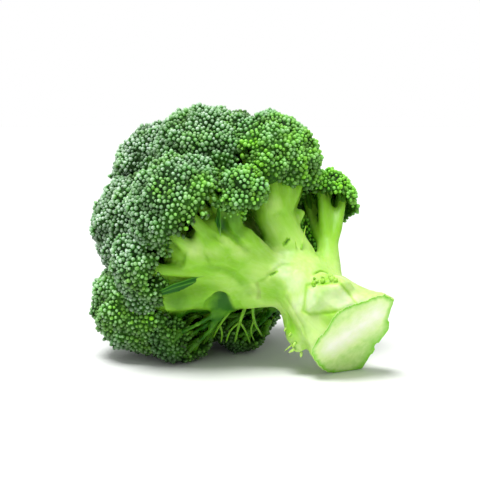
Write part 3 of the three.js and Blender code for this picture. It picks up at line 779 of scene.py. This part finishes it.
def toneStalk(bm):
    guide = stalkGuide()
    tree = nearTree([place * mm for place, _, _ in guide])
    tone = bm.verts.layers.float_color.new("tone")
    fibre = bm.verts.layers.float_vector.new("fibre")
    cutPlace = metres(stemForm["cutPlace"])
    cutWay = Vector(stemForm["cutWay"])
    for v in bm.verts:
        way, youth, total = Vector(), 0, 0
        for _, i, distance in tree.find_n(v.co, 5):
            _, along, young = guide[i]
            weight = 1 / (distance + mm) ** 3
            way += along * weight
            youth += young * weight
            total += weight
        way.normalize()
        v[fibre] = v.co - way * v.co.dot(way) * 0.86  # stretched along the fibres
        youth /= total
        for place, reach, shift in washes:
            near = reachesFrom(v.co, place, reach)
            if near < 1:
                youth += shift * (1 - near * near)
        onCut = abs((v.co - cutPlace).dot(cutWay)) < 0.9 * mm and v.normal.dot(cutWay) > 0.8
        mark = 1
        for path, width, strength in scars:
            mark = min(mark, 1 - strength * max(0, 1 - offPath(v, path) / (width * mm)))
        v[tone] = (clamp(youth), 0, 1 if onCut else 0, mark)
    toneCut(bm, tone)


cutGrain = {"from": (12.6, 7.6, -90.2), "to": (-5.7, -6.0, -84.6), "spread": 12, "heart": 0.62, "edge": 0.45,
            "rim": 2.2, "wideRim": 7.5, "wideAt": 112, "wideOver": 42}  # the last two in degrees round the stem


def toneCut(bm, tone):  # the pale heart runs across the cut face and its rim is green
    face = [v for v in bm.verts if v[tone][2] > 0.5]
    tree = nearTree([v.co for v in face if any(e.other_vert(v)[tone][2] < 0.5 for e in v.link_edges)])
    begin, end = metres(cutGrain["from"]), metres(cutGrain["to"])
    for v in face:
        heart = min(1, (v.co - footOn(v.co, begin, end)).length / (cutGrain["spread"] * mm))
        angle = math.degrees(math.atan2(v.co.y, v.co.x))
        off = math.remainder(angle - cutGrain["wideAt"], 360) / cutGrain["wideOver"]
        width = cutGrain["rim"] + cutGrain["wideRim"] * math.exp(-off * off)
        edge = max(0, 1 - tree.find(v.co)[2] / (width * mm))
        rim = cutGrain["edge"] + (1 - cutGrain["edge"]) * edge if edge else 0
        v[tone] = (v[tone][0], max(cutGrain["heart"] * heart, rim), 1, 1)


knifeCuts = [  # flats left where leaves were trimmed off: place, way it faces, reach
    ((19.5, -5.2, -83), (0.86, -0.42, -0.28), 8),
    ((-14, -13, -70), (-0.35, -0.9, -0.25), 8),
]


def knifeTrim(bm):
    for place, way, reach in knifeCuts:
        centre, normal = metres(place), Vector(way).normalized()
        for v in bm.verts:
            offset = v.co - centre
            above = offset.dot(normal)
            inside = reach * mm - (offset - normal * above).length
            if inside > 0 and 0 < above < 6 * mm:
                v.co -= normal * above * 0.94 * min(1, inside / (3 * mm))


leafBase = {  # the flat stump of a trimmed leaf: lift is how far it stands out, slope how wide its edge is
    "outline": [(12.5, -12.9, -62.9), (18.2, -13.4, -68.8), (22.1, -10.1, -74.6), (17.1, -5.7, -83.6),
                (13.7, -9.9, -81.7), (10.6, -12.5, -78.2), (4.2, -14.5, -72.2), (3.5, -15.2, -68.0)],
    "faces": (0.33, -0.80, -0.50), "middle": (14.6, -13.6, -75.2), "flatness": 0.95, "lift": 0.5, "slope": 4.5,
    "groove": 0.5,
}


def pressLeafBase(bm, tone):  # lifts the stump of the trimmed leaf out of the stem, with a groove about it darkened green as painted shade
    faces = Vector(leafBase["faces"]).normalized()
    first = faces.orthogonal().normalized()
    second = faces.cross(first)
    corners = [Vector((Vector(p).dot(first), Vector(p).dot(second))) for p in leafBase["outline"]]
    centre = sum(corners, Vector((0, 0))) / len(corners)
    sides = []
    for corner, after in zip(corners, corners[1:] + corners[:1]):
        inward = (after - corner).orthogonal().normalized()
        sides.append((corner, -inward if inward.dot(centre - corner) < 0 else inward))
    middle = Vector(leafBase["middle"])
    for v in bm.verts:
        place = v.co / mm
        above = (place - middle).dot(faces)
        if abs(above) > 9 or v.normal.dot(faces) < 0.2 or v[tone][2] > 0.5:
            continue
        flat = Vector((place.dot(first), place.dot(second)))
        inside = min((flat - corner).dot(inward) for corner, inward in sides)
        if inside > 0:
            rise = min(1, inside / 0.8)
            level = above * leafBase["flatness"] * min(1, inside / leafBase["slope"])
            v.co += faces * ((leafBase["lift"] - level) * rise) * mm
            addGreenAndPaintedShade(v, tone, -0.12 * rise)
        elif inside > -1.8:
            sunk = 1 - abs(inside + 0.9) / 0.9
            v.co -= v.normal * leafBase["groove"] * sunk * mm
            # painted shade: the groove is darkened green
            addGreenAndPaintedShade(v, tone, 0.28 * sunk)


# adds youth to a vertex: darker green above 0, used as painted shade in creases, grooves and the pocket; paler below
# 0
def addGreenAndPaintedShade(v, tone, green):
    v[tone] = (clamp(v[tone][0] + green), *v[tone][1:])


creases = [  # lines pressed into the skin: path, width, depth, how green, the green being painted shade in the crease
    ([(1.9, -22.5, -41.8), (5.5, -20.7, -44.8), (10.1, -18.5, -45.8), (13.7, -13.9, -46.2),
      (16.2, -10.5, -49.6)], 1.3, 0.6, 0.12),
    ([(8.5, -19.2, -46.2), (10.8, -17.1, -47.0)], 0.8, 0.8, 0.9),
    ([(19.0, -6.2, -38.2), (21.4, -5.0, -38.6)], 0.9, 0.8, 0.9),
    ([(17.0, -8.4, -60.2), (19.0, -4.5, -60.6), (20.4, -2.4, -63.0), (21.2, -4.5, -66.2)], 0.9, 0.6, 0.6),
    ([(2.6, -15.6, -55), (-0.5, -15.4, -63), (-5.5, -14.2, -72), (-9, -14, -79)], 1.2, 0.35, 0.05),
    ([(-2, -16, -52), (-6.5, -14.5, -60), (-10, -13.5, -66)], 1.8, 0.5, 0.12),
    ([(15.5, -40.5, -19.5), (15.5, -36.8, -22.5), (14.4, -32.5, -25.9)], 2.4, 1.2, 0.06),
    ([(21.5, -33.2, -18.2), (18.8, -32.7, -20.7), (16.1, -28.4, -25.7), (13.4, -24.1, -30.8)], 2.4, 2.4, 0.2),
    ([(6.2, -39.6, -21.6), (2.9, -38.1, -25.2)], 1.2, 0.7, 0.12),
    ([(-2.2, -40.5, -21.3), (1.0, -37.6, -25.8), (2.5, -33.7, -29.5), (1.8, -28.4, -33.8), (-1.2, -24.7, -37.6),
      (-3.6, -21.5, -40.8)], 3.0, 1.6, 0.16),
]
bites = [  # a hollow under the stem: place, reach, push
    ((-15.5, -30, -33.9), 7.5, (5.2, 0.6, 3.4)),
    ((-17.0, -33.0, -32.0), 5, (2.5, 0.3, 1.5)),
]
# a hollow in the stem, darkened green towards its middle as painted shade
pocket = {"middle": (20, -9.8, -67), "reach": 5.2, "depth": 1.6, "green": 0.3}


def pressCreases(bm, tone):
    for path, width, depth, green in creases:  # each dies away towards its ends
        begin, end = metres(path[0]), metres(path[-1])
        length = (end - begin).length
        for v in bm.verts:
            near = offPath(v, path) / (width * mm)
            if near < 1:
                toEnd = min((v.co - begin).length, (v.co - end).length) / length
                press = (1 - near * near) ** 2 * min(1, 0.25 + toEnd * 3.5)
                v.co -= v.normal * depth * press * mm
                # painted shade: the crease is darkened green towards its middle
                addGreenAndPaintedShade(v, tone, green * press)
    for place, reach, push in bites:
        for v in bm.verts:
            near = reachesFrom(v.co, place, reach)
            if near < 1:
                v.co += Vector(push) * (1 - near * near) ** 2 * mm
    for v in bm.verts:
        near = reachesFrom(v.co, pocket["middle"], pocket["reach"])
        if near < 1:
            v.co -= v.normal * pocket["depth"] * (1 - near * near) * mm
            addGreenAndPaintedShade(v, tone, pocket["green"] * (1 - near))


nubs = [  # stumps of leaf stems in the pocket: place, size, how green
    ((15.6, -12.2, -64.3), 1.1, 0.6), ((15.0, -13.0, -65.6), 0.9, 0.7), ((16.9, -11.3, -64.8), 0.9, 0.45),
    ((18.8, -10.8, -67.1), 1.1, 0.5), ((19.2, -9.2, -65.3), 0.8, 0.3), ((22.0, -10.0, -70.6), 1.5, 0.42),
    ((21.7, -7.9, -68.1), 1.1, 0.35), ((22.8, -10.3, -72.4), 1.0, 0.5), ((16.6, -10.4, -62.8), 0.8, 0.7),
]


def nubMesh():
    bm = bmesh.new()
    bmesh.ops.create_icosphere(bm, subdivisions=2, radius=1)
    for v in bm.verts:
        v.co += v.normal * noise.noise(v.co * 1.7) * 0.5
    frames = [Matrix.Translation(metres(place)) @ Matrix.Rotation(size * 5, 4, Vector(place).normalized())
              @ Matrix.Diagonal((size * mm * 1.15, size * mm * 0.8, size * mm, 1)) for place, size, _ in nubs]
    return manyMesh(toMesh(bm, "nub"), frames, [(0, 0, 1)] * len(nubs))


spurs = [  # thin bits that stand off the stem: root, tip, radius at the root
    ((-12.0, -12.5, -62.1), (-13.0, -14.4, -63.0), 0.6), ((-11.5, -13.6, -66.5), (-13.2, -15.0, -66.4), 0.8),
    ((-14.2, -13.1, -70.3), (-16.4, -14.8, -70.8), 0.9), ((-18.0, -11.7, -70.7), (-20.6, -13.6, -69.8), 0.9),
    ((-16, -12.8, -69.3), (-21.2, -14.0, -67.6), 0.45), ((-18.2, -9.9, -73.7), (-19.6, -11.4, -75.4), 0.8),
    ((20.5, -2.6, -45.5), (30, 0.5, -40.5), 0.55), ((19.6, -3.4, -43.2), (24.5, -6.5, -42.5), 0.4),
]
fans = [  # thin rods that spread under a low head: place and radius along each
    [((-13.3, -17, -39.7), 0.95), ((-24.1, -16.1, -40.3), 0.75), ((-38.0, -10.9, -39.7), 0.45)],
    [((-24.1, -16.1, -40.3), 0.6), ((-30.9, -16.1, -37.7), 0.5), ((-39.7, -13.7, -36.7), 0.35)],
    [((-24.1, -16.1, -40.3), 0.6), ((-29.4, -10.9, -42.8), 0.5), ((-36.6, -4.8, -44.2), 0.35)],
    [((-11.8, -15.2, -41.3), 0.8), ((-20.7, -11.7, -44.4), 0.65), ((-30.5, -2.2, -47.1), 0.4)],
    [((-20.7, -11.7, -44.4), 0.5), ((-27.7, -9.2, -43.9), 0.45), ((-35.0, -3.4, -45.0), 0.3)],
    [((-18.6, -20.2, -35.4), 0.8), ((-29.9, -20.8, -33.6), 0.6), ((-40.5, -17.5, -31.2), 0.4)],
    [((-29.9, -20.8, -33.6), 0.5), ((-34.3, -18.3, -35.1), 0.45), ((-40.7, -15.2, -35.0), 0.35)],
]


def spurRods():
    return [[(root, radius), (Vector(root).lerp(Vector(tip), 0.55), radius * 0.8), (tip, radius * 0.25)]
            for root, tip, radius in spurs]


stalkSkin = {"voxel": 1.3, "smoothing": 4, "ridges": 0.35, "ridgeScale": 260, "waves": 0.4, "waveScale": 90,
             "fineBelow": -40, "lowest": 0.05}


def makeStalk(rods):
    bm = joined([stemMesh(), rodsMesh(rods + stubForms + limbForms, 5, 6)], 0.001)
    skin = oneSkin(toMesh(bm, "rough"), stalkSkin)
    bm = bmesh.new()
    bm.from_mesh(skin)
    fine = [e for e in bm.edges if all(v.co.z < stalkSkin["fineBelow"] * mm for v in e.verts)]
    bmesh.ops.subdivide_edges(bm, edges=fine, cuts=1, use_grid_fill=True, smooth=1)
    bm.normal_update()
    knifeTrim(bm)
    toneStalk(bm)
    fibre = bm.verts.layers.float_vector["fibre"]
    tone = bm.verts.layers.float_color["tone"]
    pressLeafBase(bm, tone)
    pressCreases(bm, tone)
    for v in bm.verts:
        if v[tone][2] < 0.5:
            ridge = noise.noise(v[fibre] * stalkSkin["ridgeScale"]) * stalkSkin["ridges"]
            ridge += noise.noise(v.co * stalkSkin["waveScale"]) * stalkSkin["waves"]
            v.co += v.normal * ridge * mm
    bmesh.ops.transform(bm, matrix=laidOver, verts=bm.verts)
    for v in bm.verts:
        v.co.z = max(v.co.z, stalkSkin["lowest"] * mm)
    mesh = toMesh(bm, "stalk")
    newPiece("stalkBody", mesh, stalkMaterial, "stalk")
    print("stalk made:", len(mesh.polygons), "faces")


def between(begin, end, shares):  # places at these shares of the way, in m
    return [Vector(begin).lerp(Vector(end), share) * mm for share in shares]


thinTone = {"pedicel": 0.95, "fan": 0.8, "fanReach": 3.5, "spur": 0.35, "spurVaries": 0.5, "spurReach": 3,
            "nubReach": 1.7}  # how young each looks, the pedicels' dark partly painted shade under the heads, and how far from its line that holds


def makePedicels(thin):  # with the fans, spurs and nubs
    bm = joined([rodsMesh(thin, 1, 4), rodsMesh(spurRods() + fans, 2, 6), nubMesh()], 0.001)
    tone = bm.verts.layers.float_color["tone"]
    fibre = bm.verts.layers.float_vector.new("fibre")
    onSpurs = [dot for root, tip, _ in spurs for dot in between(root, tip, (0, 0.33, 0.67, 1))]
    onFans = [dot for (root, _), (middle, _), (tip, _) in fans
              for dot in between(root, middle, (0.2, 0.6, 1)) + between(middle, tip, (0.3, 0.6))]
    for v in bm.verts:
        near, size, green = min(((v.co - metres(place)).length, size, green) for place, size, green in nubs)
        # the pedicels' dark green is partly painted shade under the heads
        young = thinTone["pedicel"]
        if near < size * thinTone["nubReach"] * mm:
            young = green
        elif min((v.co - dot).length for dot in onSpurs) < thinTone["spurReach"] * mm:
            young = thinTone["spur"] + thinTone["spurVaries"] * noise.noise(v.co * 300)
        elif min((v.co - dot).length for dot in onFans) < thinTone["fanReach"] * mm:
            young = thinTone["fan"]
        v[tone] = (young, 0, 0, 1)
        v[fibre] = v.co
    bmesh.ops.transform(bm, matrix=laidOver, verts=bm.verts)
    mesh = toMesh(bm, "pedicels")
    newPiece("pedicels", mesh, stalkMaterial, "stalk")
    print("pedicels made:", len(mesh.polygons), "faces")


def makeBranches():
    rods = [list(zip(form.get("stem", form["branch"]), form["girth"])) for form in floretForms.values()]
    thin = []
    for i, form in enumerate(floretForms.values()):
        made = branchletRods(form, branchlets["seed"] + i)
        rods += made
        if not form.get("deep"):
            thin += pedicelRods(form, made, pedicels["seed"] + i)
    makeStalk(rods)
    makePedicels(thin)


makeBranches()


leafForms = {  # the piece, the node it replaces, its path and its half width
    "leafSmall": ("stalk", [(15.5, -34.7, -20.4), (21.2, -35.3, -17.8), (26.3, -34.0, -14.3)], 1.6),
    "leafFrontLow": ("leaf_front_low", [(-6, -30, -25), (-12, -40, -18), (-21, -47, -12)], 2.8),
    "leafTop": ("leaf_top", [(29, -7, -20), (35, -9, -17), (42, -9, -12)], 3),
    "leafRight": ("leaf_right", [(21, 21, -36), (26, 25, -32), (32, 28, -28)], 2.4),
}


def leafMesh(path, width):
    bm = bmesh.new()
    bmesh.ops.create_grid(bm, x_segments=24, y_segments=8, size=1)
    tone = bm.verts.layers.float_color.new("tone")
    first, middle, last = [metres(p) for p in path]
    for v in bm.verts:
        t = (v.co.x + 1) / 2
        side = v.co.y
        place = first * (1 - t) ** 2 + middle * 2 * t * (1 - t) + last * t ** 2
        along = ((middle - first) * (1 - t) + (last - middle) * t).normalized()
        across = Vector((1, 0, 0)).cross(along).normalized()
        wide = width * mm * (0.35 + 0.65 * math.sin(math.pi * (0.2 + 0.75 * t)))
        curl = (side * side * 0.35 + 0.12 * math.sin(14 * t) * abs(side)) * wide
        v[tone] = (t, abs(side), 0, 1)
        v.co = place + along.cross(across) * side * wide + across * curl
    bmesh.ops.solidify(bm, geom=bm.faces[:], thickness=0.7 * mm)
    bmesh.ops.recalc_face_normals(bm, faces=bm.faces)
    bmesh.ops.transform(bm, matrix=laidOver, verts=bm.verts)
    return toMesh(bm, "leaf")


for name, (node, path, width) in leafForms.items():
    newPiece(name, leafMesh(path, width), leafMaterial, node)
print("leaves made")


floorLook = {"size": 40.0,
             "finish": {"Base Color": (0.78, 0.79, 0.78, 1), "Roughness": 0.9, "Specular IOR Level": 0.1}}


def makeFloor():
    bm = bmesh.new()
    bmesh.ops.create_grid(bm, x_segments=1, y_segments=1, size=floorLook["size"] / 2)
    floor = bpy.data.objects.new("floor", toMesh(bm, "floor"))
    scene.collection.objects.link(floor)
    floor.data.materials.append(newMaterial("floor", floorLook)[0])


lightLook = {"from": (-0.2, 1.0, 0.2), "sun": 3.25, "softness": 24, "sky": 1.0, "around": 0.59}


def makeLight():
    data = bpy.data.lights.new("sun", "SUN")
    data.energy = lightLook["sun"]
    data.angle = math.radians(lightLook["softness"])
    sun = bpy.data.objects.new("sun", data)
    scene.collection.objects.link(sun)
    x, y, z = lightLook["from"]
    way = cameraRight * x + Vector((0, 0, 1)) * y + cameraBack * z
    sun.matrix_world = way.to_track_quat("Z", "Y").to_matrix().to_4x4()
    world = bpy.data.worlds.new("studio")
    world.use_nodes = True
    tree = world.node_tree
    seen = addNode(tree, "ShaderNodeLightPath").outputs["Is Camera Ray"]
    strength = addRange(tree, seen, {"To Min": lightLook["around"], "To Max": lightLook["sky"]})
    background = tree.nodes["Background"]
    background.inputs["Color"].default_value = (1, 1, 1, 1)
    tree.links.new(strength, background.inputs["Strength"])
    scene.world = world


makeFloor()
makeLight()
scene.view_settings.view_transform = "Standard"
print("floor and light made")
